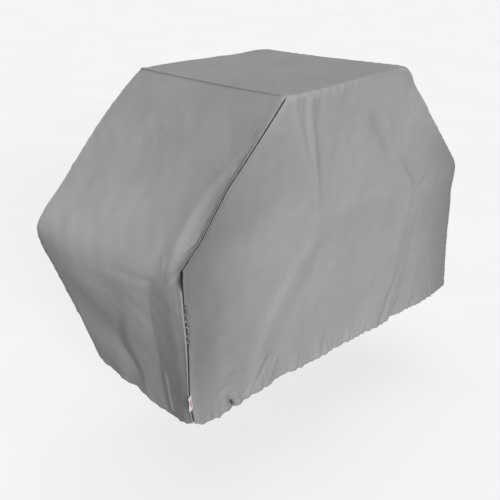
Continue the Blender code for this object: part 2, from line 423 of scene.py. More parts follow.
FRONT_LINES = (
    ((-98.5, 15, 0), (-98.5, 50, 0), (-98.5, 100, 0)),
    # slack beside the left seam
    (
        (-82, 18, 0), (-80, 33, -6), (-78, 47, -13), (-79, 62, -17), (-82, 78, -14), (-84, 92, -6),
        (-85, 100, -2),
    ),
    (
        (-44, 30, 0), (-48, 44, -7), (-57, 56, -11.5), (-63, 64, -13), (-69, 74, -12), (-74.5, 85, -8),
        (-77, 93, -4), (-79, 100, -1.5),
    ),
    # the foot of the long diagonal fold
    (
        (-25, 38, 0), (-26, 46, -2.5), (-35, 56, -4.5), (-43, 64, -5), (-53.8, 74, -4.6), (-61.6, 85, -4),
        (-64.5, 93, -3), (-67, 100, -1.5),
    ),
    # its crest
    (
        (-17, 38, 0), (-18, 48, 0.8), (-30.5, 58.9, 1.6), (-38.5, 64.2, 2.2), (-49.2, 73.9, 2.6),
        (-57.2, 84.2, 2.8), (-60, 92.4, 2.4), (-63, 100, 1),
    ),
    # a dip and a second, softer crest
    (
        (-10, 42, 0), (-13, 52, -1.5), (-21.5, 61.3, -3), (-28, 67.4, -3.4), (-35, 74.5, -3),
        (-46, 87.2, -2), (-52, 100, -1),
    ),
    (
        (0, 42, 0), (-4, 54, 1.5), (-8, 64.1, 2.5), (-14, 70.8, 2.5), (-26, 80, 1.5), (-36, 90, 0.5),
        (-43, 100, 0),
    ),
    ((30, 40, 0), (30, 55, 2.5), (26, 70, 3.5), (20, 85, 2.5), (15, 100, 0.5)),
    # where the cloth turns to the right-hand end
    ((56, 42, 0), (57.5, 49, 0.5), (49.5, 61, 2), (46.8, 77.2, 2.5), (40, 92.7, 1.5), (38, 100, 0.5)),
    ((68, 42, 0), (69, 49, -3), (63, 61, -6), (61, 77.2, -6.5), (56, 92.7, -4), (54, 100, -1)),
    ((96, 42, 0), (96, 60, -4), (96, 80, -4), (96, 100, 0)),
)


# Folds on each panel: path, width and height in mm, fades at its ends as shares of it, and how pointed it
# is. A path's points are (across from -100 to 100, down from 0 at the top to 100 at the hem).
FRONT_FOLDS = (
    # two long folds from the gathered corner
    (
        ((-39, 1), (-37.2, 5.5), (-35, 10.5), (-31.5, 15.5), (-27, 23), (-22.5, 31)),
        (13, 10), 4.2, (0.02, 0.6), 0.2,
    ),
    (((-32.2, 1.6), (-31.4, 6.2), (-29, 15), (-25.8, 24), (-22.8, 33)), 13, -4.2, (0.05, 0.5), 0.1),
    (
        ((-28.3, 1.2), (-26.8, 10), (-24.6, 18.5), (-22.2, 27.5), (-20.3, 37), (-18.6, 45), (-18, 50)),
        (14, 27), 6, (0.03, 0.4), 0.1,
    ),
    (((-22.8, 3), (-22, 11), (-20.5, 20), (-18.6, 29), (-16.8, 38)), 16, -3.4, (0.1, 0.5), 0),
    # tension folds towards the right-hand shelf
    (((-15, 45.5), (4.7, 43.7), (29, 44), (48, 45.2)), (30, 40), 3.6, (0.3, 0.3), 0),
    (((6, 8.5), (10, 15), (20, 26.2), (33, 37), (44, 44)), (22, 34), 3.6, (0.3, 0.4), 0.1),
    (((13, 8), (19, 15), (27, 23.5), (37, 33)), 20, -3.4, (0.3, 0.4), 0),
    (((25.5, 9), (30, 15), (34.5, 21.5), (37.2, 28)), (14, 20), 2.6, (0.4, 0.5), 0.2),
    (((36, 15.5), (40, 20.5), (44, 25)), (10, 16), 2, (0.4, 0.5), 0.3),
    (((40.5, 27), (44, 32), (49.7, 37), (56, 43), (60, 46.8)), (18, 9), -4.8, (0.5, 0.1), 0.3),
    (((60, 46.6), (64, 45.4), (69, 44.8), (74, 44)), (10, 18), -2.6, (0.1, 0.6), 0.3),
    (((60, 47), (58.5, 52), (54, 59)), 14, -2.4, (0.1, 0.6), 0.1),
    # small folds at the diagonal fold's foot
    (((-47.3, 84), (-54, 89), (-59, 93), (-63, 96.5)), (7, 10), -4.8, (0.4, 0.2), 0.3),
    (((-52, 83.5), (-58.5, 90), (-62.5, 94.5), (-65, 98.5)), (7, 9), 4.2, (0.4, 0.1), 0.3),
    (((-56, 88), (-62, 93), (-66.5, 97)), (6, 8), -4.4, (0.4, 0.2), 0.3),
    (((-43, 85), (-47, 91), (-52, 97)), (8, 10), 3, (0.5, 0.2), 0.2),
    (((-82, 88), (-76, 85), (-69, 86), (-64, 89)), (12, 16), 3.6, (0.4, 0.4), 0.2),
    (((-85, 93), (-79, 90.5), (-73, 91.5)), 9, -3.2, (0.4, 0.4), 0.2),
    # a tuck that gapes at the hem, and its lips
    (((-77.5, 93.5), (-75.5, 95.5), (-74, 97.5), (-73, 100)), 6, -9.5, (0.3, 0), 0.2),
    (((-80.5, 94), (-78.5, 96.5), (-76.8, 100)), 8, 5.5, (0.4, 0), 0.2),
    (((-73.5, 93), (-71.2, 95.5), (-69.2, 100)), 8, 5, (0.4, 0), 0.2),
    # folds that rise from the hem
    (((36.5, 99), (40, 93), (44, 86), (50, 76)), (10, 14), -4.2, (0.02, 0.7), 0.3),
    (((40.5, 99.5), (44, 93), (49, 85), (56, 73)), (12, 16), 4, (0.05, 0.7), 0.2),
    (((47, 99.5), (52, 92), (57, 84)), (10, 14), -3.4, (0.05, 0.7), 0.2),
    (((64, 99.5), (68, 96), (74, 93)), (12, 16), -4, (0.05, 0.6), 0.2),
    (((-13, 98.5), (-11, 92), (-8, 85)), (9, 12), -2.8, (0.1, 0.7), 0.2),
    (((8, 99), (11, 93), (15, 86)), (9, 12), 2.6, (0.1, 0.7), 0.2),
    (((20, 99), (23.5, 93), (28, 87)), (8, 12), 2.6, (0.1, 0.7), 0.2),
    (((-33, 98.5), (-31, 93), (-28, 88)), (8, 11), 2.4, (0.1, 0.7), 0.2),
)
FRONT_TUCK = ((-75, 96.2), (-74, 97.5), (-73.2, 99))
LEFT_FOLDS = (
    # two fine creases on the strip beside the seam, and one over the shelf
    (((-88, 58.5), (-88.2, 62), (-88.8, 70), (-92.5, 76)), 4.2, -1.2, (0.1, 0.5), 0.3),
    (((-92, 58), (-93.8, 62), (-94.4, 70)), 4.2, -1.2, (0.1, 0.5), 0.3),
    (((-64, 50), (-69, 52.8), (-75, 56)), 4.8, 1.6, (0.4, 0.2), 0.3),
    # the pull into the shelf's corner
    (((-98.5, 54.8), (-94, 55.6), (-89, 56.7), (-83, 57.5)), (6, 9), -3, (0.05, 0.5), 0.3),
    # creases in the valley's foot
    (((-54.5, 87), (-59, 93), (-62.5, 100)), (16, 6), 4.8, (0.3, 0), 0.3),
    # puckers beside the slope's seam
    (((-96, 20), (-90, 20.7), (-83, 21.7)), 5, -3.8, (0.2, 0.4), 0.3),
    (((-90.5, 22.2), (-93, 24.3), (-95, 26.2)), 5, -3.6, (0.3, 0.3), 0.3),
    (((-89, 10.5), (-89.5, 12.2), (-89, 13.8)), 5, -1.8, (0.3, 0.3), 0.2),
    (((-87, 39), (-90, 38.7), (-94, 38.6)), 5, -3.6, (0.3, 0.3), 0.3),
    (((-90, 40.2), (-93, 41.5), (-95.5, 43)), 4.6, 2.2, (0.3, 0.3), 0.3),
    (((-95.5, 44), (-91.5, 44.8), (-88, 46.6), (-85, 48.2)), 4.6, -3.4, (0.2, 0.3), 0.3),
    (((-94, 46.2), (-90.5, 47.2), (-88, 48.4)), 4.4, 2.8, (0.3, 0.3), 0.3),
    (((-95, 48.2), (-91.5, 49.3), (-88.5, 50.8)), 4.6, -3.2, (0.2, 0.3), 0.3),
    (((-96, 50.5), (-93, 52), (-90, 53)), 5, 2.4, (0.3, 0.3), 0.3),
)
BACK_LINES = (
    ((-97, 30, 0), (-97, 60, 0), (-97, 100, 0)),
    ((-74, 35, 0), (-76, 55, -5), (-76, 80, -7), (-74, 100, -3)),
    ((-50, 40, 0), (-48, 60, 1.5), (-52, 80, 2.5), (-56, 100, 1)),
    ((-26, 35, 0), (-20, 58, -6), (-24, 80, -9), (-30, 100, -4)),
    ((6, 40, 0), (4, 60, 1), (0, 80, 2), (-2, 100, 1)),
    ((34, 38, 0), (32, 60, -6), (34, 82, -8), (36, 100, -3)),
    ((60, 42, 0), (62, 62, 1.5), (58, 82, 2), (56, 100, 0.5)),
    ((96, 40, 0), (96, 60, 0), (96, 100, 0)),
)
RIGHT_LINES = (
    ((-96, 56, 0), (-96, 80, 0), (-96, 100, 0)),
    ((-70, 57, 0), (-74, 68, 1.5), (-80, 84, 2.5), (-82, 100, 1)),
    ((-50, 57, 0), (-54, 68, -7), (-56, 84, -12), (-54, 100, -7)),
    ((-10, 57, 0), (-14, 70, 1), (-10, 85, 2), (-6, 100, 1)),
    ((12, 58, 0), (12, 72, -7), (20, 86, -11), (24, 100, -6)),
    ((55, 57, 0), (58, 72, 1), (64, 86, 2), (64, 100, 1)),
    ((96, 56, 0), (96, 80, 0), (96, 100, 0)),
)
BACK_FOLDS = (
    # pulls from the top's corners
    (((37, 1.5), (34.5, 12), (28, 26), (19, 42)), (12, 18), 5.2, (0.04, 0.5), 0.2),
    (((30, 2), (26.5, 13), (19, 27)), 13, -4, (0.05, 0.5), 0.1),
    (((-38.5, 1.5), (-36.5, 13), (-31, 29), (-25, 45)), (18, 12), 4.8, (0.04, 0.5), 0.2),
    (((-32, 2), (-29, 14), (-22, 29)), 13, -3.8, (0.05, 0.5), 0.1),
    # pulls from the shelves' ends, and the slack between the shelves
    (((96, 45), (82, 51), (68, 61), (60, 75)), (16, 26), 5, (0.1, 0.5), 0.1),
    (((-95, 46), (-80, 53), (-65, 66), (-56, 81)), (26, 16), 5, (0.1, 0.5), 0.1),
    (((-60, 45.5), (-20, 50), (22, 50.5), (62, 45)), (26, 34), 3.6, (0.3, 0.3), 0),
    # folds that rise from the hem
    (((-66, 99.5), (-62, 92), (-56, 84)), (10, 14), -4, (0.05, 0.7), 0.2),
    (((-36, 99.5), (-34, 93), (-30, 85)), (10, 14), 3.6, (0.05, 0.7), 0.2),
    (((14, 99.5), (11, 92), (6, 83)), (12, 10), -4, (0.05, 0.7), 0.2),
    (((48, 99.5), (45, 92), (40, 84)), (12, 10), 3.6, (0.05, 0.7), 0.2),
    (((76, 99.5), (72, 93), (66, 86)), (12, 10), -3.6, (0.05, 0.7), 0.2),
)
RIGHT_FOLDS = (
    # pulls from the top's corners
    (((-90, 5), (-76, 15), (-56, 29)), (12, 18), 3.6, (0.05, 0.6), 0.2),
    (((88, 4.5), (76, 17), (62, 32)), (16, 12), 3.6, (0.05, 0.6), 0.2),
    (((-10, 10), (-2, 22), (12, 34)), (20, 14), -3, (0.4, 0.5), 0.1),
    # creases over the shelf's end
    (((-95, 50), (-70, 53), (-40, 54)), 10, -3.2, (0.1, 0.5), 0.2),
    (((93, 49), (70, 53), (43, 54.5)), 10, -3.2, (0.1, 0.5), 0.2),
    (((-30, 52.2), (5, 53.6), (35, 53)), 14, 2.6, (0.3, 0.3), 0.1),
    # folds that rise from the hem
    (((-38, 99.5), (-34, 93), (-28, 85)), (8, 12), -3.6, (0.05, 0.7), 0.2),
    (((42, 99.5), (40, 93), (34, 85)), (12, 8), 3.6, (0.05, 0.7), 0.2),
)
# Small puckers beside the front's left seam, below the shelf: how far down each starts, in per cent
FRONT_PUCKERS = (55.6, 58, 60.2, 62.4, 65, 67.6)
# Gathers under the top's front edge: place across in per cent, then how far down, how wide and how high in
# mm
FRONT_GATHERS = (
    (-40, 50, 7, 1.4), (-36.8, 60, 6, 1.8), (-33, 45, 5.5, -1.7), (-30, 60, 6, 1.9), (-26.8, 50, 6, -1.8),
    (-24, 45, 6, 1.8), (-20.5, 50, 6, -1.9), (-17.5, 40, 5.5, 1.9), (-14.5, 36, 6, -1.4),
    (-11.8, 36, 6, 1.7), (-8.5, 30, 6, -1.1), (-5, 30, 6, 1.2), (2, 26, 6, -0.9), (7.5, 26, 6, 0.9),
    (16, 24, 7, -0.6), (23.5, 24, 7, 0.7), (33, 22, 7, -0.6),
)


# Objects


def make_cloth(panel, material, thickness=CLOTH_THICKNESS):
    """The panel's mesh: its grid, thickened inwards, with UVs in metres and its painted highlight and painted
    shade in it.
    """
    rows, columns = panel.points.shape[:2]
    index = np.arange(rows * columns).reshape(rows, columns)
    faces = np.stack([index[:-1, :-1], index[1:, :-1], index[1:, 1:], index[:-1, 1:]], axis=-1).reshape(-1, 4)
    facing = np.cross(np.gradient(panel.points, axis=0), np.gradient(panel.points, axis=1))
    if (facing @ panel.outward).mean() < 0:
        faces = faces[:, ::-1]
    cloth = add_mesh(panel.name, panel.points.reshape(-1, 3), faces, material)
    add_uv(cloth.data, "metres", np.stack([panel.from_left, panel.from_top], axis=-1).reshape(-1, 2))
    for name, values in (("painted_highlight", panel.painted_highlight), ("shade", panel.shade)):
        attribute = cloth.data.attributes.new(name, "FLOAT", "POINT")
        attribute.data.foreach_set("value", np.clip(values, 0, 1).astype(np.float32).ravel())
    thicken = cloth.modifiers.new("thickness", "SOLIDIFY")
    thicken.thickness = thickness
    thicken.offset = -1
    return cloth


def add_uv(mesh, name, places):
    """A UV layer, from a place for each vertex."""
    corners = np.zeros(len(mesh.loops), np.int32)
    mesh.loops.foreach_get("vertex_index", corners)
    layer = mesh.uv_layers.new(name=name)
    layer.data.foreach_set("uv", places[corners].astype(np.float32).ravel())


def add_mesh(name, vertices, faces, material):
    mesh = bpy.data.meshes.new(name)
    mesh.from_pydata([tuple(v) for v in vertices], [], [tuple(f) for f in faces])
    mesh.shade_smooth()
    mesh.materials.append(material)
    thing = bpy.data.objects.new(name, mesh)
    bpy.context.scene.collection.objects.link(thing)
    return thing


def tube_faces(count, around, closed=False, first=0):
    """The faces of a tube of rings, numbered from its first vertex, with caps if it isn't closed."""
    faces = []
    for k in range(count if closed else count - 1):
        for j in range(around):
            a, b = k * around + j, k * around + (j + 1) % around
            shift = around if k < count - 1 else -k * around
            faces.append((a, b, b + shift, a + shift))
    if not closed:
        faces.append(tuple(range(around))[::-1])
        faces.append(tuple(range((count - 1) * around, count * around)))
    return [tuple(first + vertex for vertex in face) for face in faces]


def sweep(name, path, axis_a, axis_b, section, material, closed=False):
    """A section, as (along a, along b) points, carried along a path."""
    rings = path[:, None] + section[None, :, :1] * axis_a[:, None] + section[None, :, 1:] * axis_b[:, None]
    thing = add_mesh(name, rings.reshape(-1, 3), tube_faces(len(path), len(section), closed), material)
    fix_normals(thing.data)
    return thing


def fix_normals(mesh):
    shape = bmesh.new()
    shape.from_mesh(mesh)
    bmesh.ops.recalc_face_normals(shape, faces=shape.faces)
    shape.to_mesh(mesh)
    shape.free()


def oval(width, height, steps=12, squareness=1.0):
    """A rounded section. Squareness below 1 fills out its corners."""
    angles = np.linspace(0, 2 * math.pi, steps, endpoint=False)
    c, s = np.cos(angles), np.sin(angles)
    x = np.sign(c) * np.abs(c) ** squareness * width / 2
    y = np.sign(s) * np.abs(s) ** squareness * height / 2
    return np.stack([x, y], axis=1)


def make_stitches(name, path, outward, material):
    """A row of thread stitches that lies on the cloth along a path."""
    length = along(path)[-1]
    count = int(length / STITCH_PITCH)
    shares = (np.arange(count) + 0.5) / count
    middle, out = at_shares(path, shares), unit(at_shares(outward, shares))
    half = STITCH_LENGTH / 2 / length
    run = unit(at_shares(path, np.clip(shares + half, 0, 1)) - at_shares(path, np.clip(shares - half, 0, 1)))
    side = np.cross(out, run)
    ring = [(math.cos(a), math.sin(a)) for a in np.linspace(0, 2 * math.pi, STITCH_SIDES, endpoint=False)]
    vertices, faces = [], []
    for m, o, r, s in zip(middle, out, run, side):
        faces += tube_faces(len(STITCH_PROFILE), STITCH_SIDES, first=len(vertices))
        for place, fat, rise in STITCH_PROFILE:
            centre = m + r * place * STITCH_LENGTH / 2 + o * rise * STITCH_RADIUS
            vertices += [centre + STITCH_RADIUS * fat * (s * x + o * y) for x, y in ring]
    return add_mesh(name, vertices, faces, material)


# Materials

# How wide one band of Blender's wave texture is at scale 1
WAVE_PITCH = 0.314


class Paint:
    """A material, whose nodes are added one by one."""

    def __init__(self, name, values):
        self.material = bpy.data.materials.new(name)
        self.material.use_nodes = True
        self.tree = self.material.node_tree
        self.shader = self.tree.nodes["Principled BSDF"]
        self.feed(self.shader, values)
        where = self.tree.nodes.new("ShaderNodeTexCoord")
        self.solid, self.flat = where.outputs["Object"], where.outputs["UV"]

    def feed(self, node, values):
        """Sets a node's inputs to values, or links them to other nodes' outputs."""
        for key, value in values.items():
            if isinstance(value, bpy.types.NodeSocket):
                self.tree.links.new(value, node.inputs[key])
            else:
                node.inputs[key].default_value = value

    def add(self, kind, values, output, **settings):
        node = self.tree.nodes.new(kind)
        for key, value in settings.items():
            setattr(node, key, value)
        self.feed(node, values)
        return node.outputs[output]

    def sums(self, operation, *values):
        return self.add("ShaderNodeMath", dict(enumerate(values)), 0, operation=operation)

    def mixed(self, factor, low, high):
        return self.add("ShaderNodeMix", {"Factor": factor, "A": low, "B": high}, "Result", data_type="RGBA")

    def noise(self, scale, detail, distortion=0.0):
        values = {"Vector": self.solid, "Scale": scale, "Detail": detail, "Distortion": distortion}
        return self.add("ShaderNodeTexNoise", values, "Fac")

    def ramp(self, value, low, low_tone, high, high_tone):
        """A scale of greys, from one tone to another."""
        scale = self.tree.nodes.new("ShaderNodeValToRGB")
        for element, place, tone in zip(scale.color_ramp.elements, (low, high), (low_tone, high_tone)):
            element.position = place
            element.color = grey(tone)
        self.feed(scale, {"Fac": value})
        return scale.outputs["Color"]

    def waves(self, vector, pitch, **settings):
        """Bands of waves a pitch apart."""
        values = {"Vector": vector, "Scale": WAVE_PITCH / pitch, "Distortion": 0.4, "Detail Scale": 2.0}
        return self.add("ShaderNodeTexWave", values, "Fac", **settings)

    def weave(self, vector, pitch):
        """Crossed threads a pitch apart."""
        across, down = (self.waves(vector, pitch, bands_direction=way) for way in "XY")
        return self.sums("MAXIMUM", across, down)

    def bump(self, height, distance, strength, **before):
        values = {"Height": height, "Distance": distance, "Strength": strength, **before}
        return self.add("ShaderNodeBump", values, "Normal")


def grey(value):
    return (value, value, value, 1.0)


def cover_material(name, tone, pitch=0.0007):
    """Matt woven polyester: crossed threads and faint mottling, with painted highlights along edges and
    painted shade in seams, hollows and creases.
    """
    sheen = {"Sheen Weight": 0.03, "Sheen Roughness": 0.45}
    paint = Paint(name, {"Roughness": 0.86, "Specular IOR Level": 0.22, **sheen})
    base = paint.ramp(paint.noise(5.0, 4.0, 0.3), 0.30, tone * 0.94, 0.72, tone * 1.06)
    fine = paint.noise(160.0, 3.0)
    base = paint.mixed(paint.ramp(fine, 0.35, 0.0, 0.70, 0.35), base, grey(tone * 0.80))
    threads = paint.weave(paint.flat, pitch)
    base = paint.mixed(paint.ramp(threads, 0.15, 0.5, 0.60, 0.0), base, grey(tone * 0.72))
    # the painted highlights lighten the cloth, and the painted shade darkens it nearly to black
    for attribute, colour in (("painted_highlight", grey(tone * 1.75)), ("shade", grey(0.012))):
        amount = paint.add("ShaderNodeAttribute", {}, "Fac", attribute_name=attribute)
        base = paint.mixed(amount, base, colour)
    crumpled = paint.bump(paint.noise(22.0, 5.0, 0.4), 0.0022, 0.35)
    woven = paint.bump(threads, pitch * 0.35, 0.5, Normal=crumpled)
    rough = paint.ramp(fine, 0.3, 0.80, 0.7, 0.92)
    paint.feed(paint.shader, {"Base Color": base, "Roughness": rough, "Normal": woven})
    return paint.material


def tape_material(name, tone, pitch):
    """Ribbed woven tape, elastic or thread."""
    paint = Paint(name, {"Roughness": 0.8, "Sheen Weight": 0.15})
    base = paint.ramp(paint.noise(40.0, 4.0), 0.3, tone * 0.8, 0.7, tone * 1.2)
    values = {"Vector": paint.solid, "Scale": WAVE_PITCH / pitch, "Distortion": 1.0}
    ribs = paint.add("ShaderNodeTexWave", values, "Fac", bands_direction="DIAGONAL")
    base = paint.mixed(ribs, base, grey(tone * 0.65))
    paint.feed(paint.shader, {"Base Color": base, "Normal": paint.bump(ribs, pitch * 0.4, 0.6)})
    return paint.material


def label_material():
    """White woven satin with a plain blue block and red block, and no lettering."""
    paint = Paint("label_cloth", {"Roughness": 0.55, "Sheen Weight": 0.2})
    base = paint.ramp(paint.noise(220.0, 3.0), 0.3, 0.74, 0.7, 0.84)
    blue, red = (0.03, 0.06, 0.36, 1), (0.62, 0.03, 0.10, 1)
    for centre, size, colour in (((0.62, 0.58), (0.16, 0.20), blue), ((0.33, 0.48), (0.16, 0.34), red)):
        far = []
        for axis, middle, reach in zip("XY", centre, size):
            place = paint.add("ShaderNodeSeparateXYZ", {"Vector": paint.flat}, axis)
            distance = paint.sums("ABSOLUTE", paint.sums("SUBTRACT", place, middle))
            far.append(paint.sums("DIVIDE", distance, reach))
        block = paint.ramp(paint.sums("MAXIMUM", *far), 0.85, 0.95, 1.0, 0.0)
        base = paint.mixed(block, base, colour)
    threads = paint.weave(paint.solid, 0.0005)
    paint.feed(paint.shader, {"Base Color": base, "Normal": paint.bump(threads, 0.0002, 0.4)})
    return paint.material


# The five panels

# The left panel's lines between its seams: share of the way to the back, then how far the shelf's end
# pushes it out and lets it drop, how round the knee is there, and how far down the skirt it spreads
SHELF_END_LINES = (
    (0.115, 0.017, 0.044, 0.004, 0.030),
    (0.30, 0.033, 0.048, 0.011, 0.055),
    (0.62, 0.043, 0.048, 0.017, 0.110),
)


def make_seams():
    """The eight sewn edges and the four hems."""
    curves = {(side, end): seam_curve(side, end) for side in (LEFT, RIGHT) for end in (FRONT, BACK)}
    turned = smooth_step(along(curves[RIGHT, FRONT]), 0.0, 0.16)
    curves[RIGHT, FRONT][:, 1] += turned * (FRONT_RIGHT_BEND + FRONT_RIGHT_EASE)
    fl, fr, bl, br = (curves[key] for key in ((LEFT, FRONT), (RIGHT, FRONT), (LEFT, BACK), (RIGHT, BACK)))
    up = np.array((0.0, 0.0, 1.0))
    left = np.array((-1.0, 0.0, -0.25))
    right = unit(np.array((1.0, 0.0, 1.0)))
    near_shelf = np.exp(-(((np.arange(len(fl)) - len(DOWN_SLOPE)) / 5.0) ** 2))
    low = smooth_step(np.arange(len(fl)) / len(fl), 0.55, 1.0)
    seams = {
        "front_left": side_seam(fl, LEFT, FRONT, 0.0016, 0.0085 + 0.012 * near_shelf),
        "front_right": side_seam(fr, RIGHT, FRONT, 0.0025, 0.0060),
        "back_left": side_seam(bl, LEFT, BACK, 0.0030 + 0.0050 * low, 0.0040),
        "back_right": side_seam(br, RIGHT, BACK, 0.0050, 0.0060),
    }
    for key, start, end, rises, shares, side, depths in (
        ("top_front", fl, fr, (-1, 1), ACROSS, (up, np.array((0.0, FRONT, 0.0))), (0.0022, 0.0026)),
        ("top_back", bl, br, (1, -1), ACROSS, (up, np.array((0.0, BACK, 0.0))), (0.0040, 0.0030)),
        ("top_left", fl, bl, (-3, -2), DEEP, (left, left), (0.0, -0.0070)),
        ("top_right", fr, br, (-2, -3), DEEP, (up, right), (0.0020, 0.0040)),
    ):
        edge = edge_curve(start[0], end[0], ((30, rises[0]), (70, rises[1])), shares)
        seams[key] = Seam(edge, *side, *depths)
    hems = {
        "front": edge_curve(fl[-1], fr[-1], FRONT_HEM, ACROSS, HEM),
        "back": edge_curve(bl[-1], br[-1], BACK_HEM, ACROSS, HEM),
        "left": edge_curve(fl[-1], bl[-1], LEFT_HEM, DEEP, HEM),
        "right": edge_curve(fr[-1], br[-1], RIGHT_HEM, DEEP, HEM),
    }
    return seams, hems


def coons(left, right, top, bottom, across):
    """The patch that fills four edges. Left and right run down, and top and bottom run across."""
    u = across[None, :, None]
    v = (along(left) / along(left)[-1] + along(right) / along(right)[-1])[:, None, None] / 2
    sides = (1 - u) * left[:, None] + u * right[:, None]
    ends = (1 - v) * top[None] + v * bottom[None]
    corners = (1 - u) * ((1 - v) * left[0] + v * left[-1]) + u * ((1 - v) * right[0] + v * right[-1])
    return sides + ends - corners


def loft_weights(places, shares):
    """How much each control line counts at each share across: straight blends between them, smoothed."""
    fine = np.linspace(-0.5, 1.5, 801)
    kernel = np.exp(-(((np.arange(-60, 61) / 400) / 0.035) ** 2))
    weights = []
    for k in range(len(places)):
        heights = np.eye(len(places))[k]
        straight = np.interp(fine, places, heights)
        for end, near in ((0, 1), (-1, -2)):
            gap = places[near] - places[end]
            run_on = heights[end] + (fine - places[end]) * (heights[near] - heights[end]) / gap
            beyond = fine < places[0] if end == 0 else fine > places[-1]
            straight = np.where(beyond, run_on, straight)
        smooth = np.convolve(straight, kernel / kernel.sum(), "same")
        weights.append(np.interp(shares, fine, smooth))
    return np.array(weights)


def loft(lines, places, top, bottom, shares):
    """A patch over several lines that run down, fitted to its top and bottom edges."""
    patch = np.einsum("kc,krx->rcx", loft_weights(places, shares), np.array(lines))
    patch[:, 0], patch[:, -1] = lines[0], lines[-1]
    v = (along(lines[0]) / along(lines[0])[-1])[:, None, None]
    return patch + (1 - v) * (top - patch[0]) + v * (bottom - patch[-1])


def left_lines(front, back):
    """The left panel's lines: its seams, and between them the ones that pass over the shelf's square end."""
    lines, places = [front], [0.0]
    for share, shelf_out, shelf_drop, knee, spread in SHELF_END_LINES:
        y = (2 * share - 1) * HALF_DEPTH
        top = np.array((-HALF_TOP, y, CREST))
        shelf = np.array((-HALF_WIDTH - shelf_out, y, SHELF - shelf_drop))
        hem = (1 - share) * front[-1] + share * back[-1]
        hem[0] -= 0.022 * math.sin(math.pi * share)
        slope_line, skirt_line = shelf - top, hem - shelf
        slope_out = unit(np.array((slope_line[2], 0.0, -slope_line[0])))
        slope_bows = ((0.2, 0.006), (0.45, 0.008), (0.7, 0.007), (1 - spread * 1.4, 0.006))
        slope = [top, *(top + a * slope_line + b * slope_out for a, b in slope_bows)]
        turn = shelf - np.array((-knee * 0.8, 0.0, knee * 0.4))
        skirt_bows = ((spread * 1.6, knee * 0.9), (0.30, knee * 1.1), (0.6, 0.004))
        skirt = [*(shelf + a * skirt_line - np.array((b, 0.0, 0.0)) for a, b in skirt_bows), hem]
        whole = catmull_rom([*slope, turn, *skirt])
        cut = PER_SPAN * len(slope)
        lines.append(down_panel(whole[: cut + 1], whole[cut:]))
        places.append(share)
    return [*lines, back], [*places, 1.0]


def make_panels(seams, hems):
    edges = {key: seam.points for key, seam in seams.items()}
    points = coons(edges["front_left"], edges["front_right"], edges["top_front"], hems["front"], ACROSS)
    away = np.abs(points[:, -1:, 0] - points[..., 0])
    points[..., 1] = -HALF_DEPTH
    low = smooth_step(CREST - points[..., 2], 0.30, 0.60)
    reach = FRONT_RIGHT_REACH[0] + low * (FRONT_RIGHT_REACH[1] - FRONT_RIGHT_REACH[0])
    ease = np.clip(1 - away / reach, 0, 1) ** 1.2 * FRONT_RIGHT_EASE
    bend = (1 - np.sqrt(1 - np.clip(1 - away / FRONT_RIGHT_BEND, 0, 1) ** 2)) * FRONT_RIGHT_BEND
    turned = (edges["front_right"][:, 1] + HALF_DEPTH) / (FRONT_RIGHT_BEND + FRONT_RIGHT_EASE)
    points[..., 1] += turned[:, None] * (ease + bend)
    points[-1] = hems["front"] * (1, 0, 1) + points[-1] * (0, 1, 0)
    hems["front"] = points[-1]

    back = coons(edges["back_left"], edges["back_right"], edges["top_back"], hems["back"], ACROSS)
    panels = {}
    for key, points, way in (("front", points, FRONT), ("back", back, BACK)):
        plan = np.stack([points[..., 0], points[..., 2] - CREST], axis=-1)
        panels[key] = Panel(key + "_cloth", points, (0, way, 0), plan)

    lines, places = left_lines(edges["front_left"], edges["back_left"])
    left = loft(lines, places, edges["top_left"], hems["left"], DEEP)
    right = coons(edges["front_right"], edges["back_right"], edges["top_right"], hems["right"], DEEP)
    for key, points, way in (("left", left, LEFT), ("right", right, RIGHT)):
        down = np.pad(np.cumsum(np.linalg.norm(np.diff(points, axis=0), axis=2), axis=0), ((1, 0), (0, 0)))
        plan = np.stack([points[..., 1], -down], axis=-1)
        panels[key] = Panel(key + "_side_cloth", points, (way, 0, 0.2), plan)
    points = coons(edges["top_left"], edges["top_right"], edges["top_front"], edges["top_back"], ACROSS)
    panels["top"] = Panel("top_cloth", points, (0, 0, 1), points[..., :2])
    return panels


def sew(panel, edge, seam, round_width, groove_width, lip=0.0, pucker=0.0, seed=0, groove_shade=1.0):
    """Draws one edge of a panel in to its seam, with a lip beside it and small puckers across it.

    The groove's width and the lip are one value or one for each point of the seam. The groove gets painted
    shade, and the lip a painted highlight.
    """
    across = panel.normals()
    at_side = edge in ("left", "right")
    if at_side:
        column = 0 if edge == "left" else -1
        distance = panel.from_left if edge == "left" else panel.from_right
        row_way = unit(panel.points[:, 4 if edge == "left" else -5] - panel.points[:, column])
        square = np.linalg.norm(np.cross(row_way, unit(np.gradient(seam.points, axis=0))), axis=1)
        distance = distance * square[:, None]
    else:
        distance = panel.from_top if edge == "top" else panel.from_hem

    def spread(values):
        values = np.broadcast_to(values, seam.place.shape)
        return values[:, None] if at_side else values[None]

    ease = spread(seam.ease)
    narrow_width = spread(groove_width)
    wide = np.exp(-((distance / round_width) ** 1.3))
    narrow = np.exp(-((distance / narrow_width) ** 2))
    places = np.stack([seam.place, 0 * seam.place], axis=-1)
    ripple = np.maximum(wander(places, PUCKER_PITCH, seed, 10), -0.4)
    rise = spread(lip) * np.exp(-(((distance - LIP_PLACE) / 0.0030) ** 2)) * smooth_step(distance, 0, 0.003)
    far = distance / PUCKER_REACH
    rise = rise + spread(pucker * ripple) * far * np.exp(1 - far)
    inward = seam.inward[:, None] if at_side else seam.inward[None]
    drawn = spread(seam.round_depth) * wide + spread(seam.groove_depth) * narrow
    panel.points = panel.points + across * (rise * ease)[..., None] + inward * drawn[..., None]
    # painted shade in the groove, darkest at the seam itself
    panel.darken(groove_shade * ease * narrow)
    # a painted highlight along the lip's crest
    rim = 0.16 * ease * np.exp(-(((distance - 0.0050) / 0.0022) ** 2)) * spread(lip) / 0.0012
    panel.paint_highlight(rim)


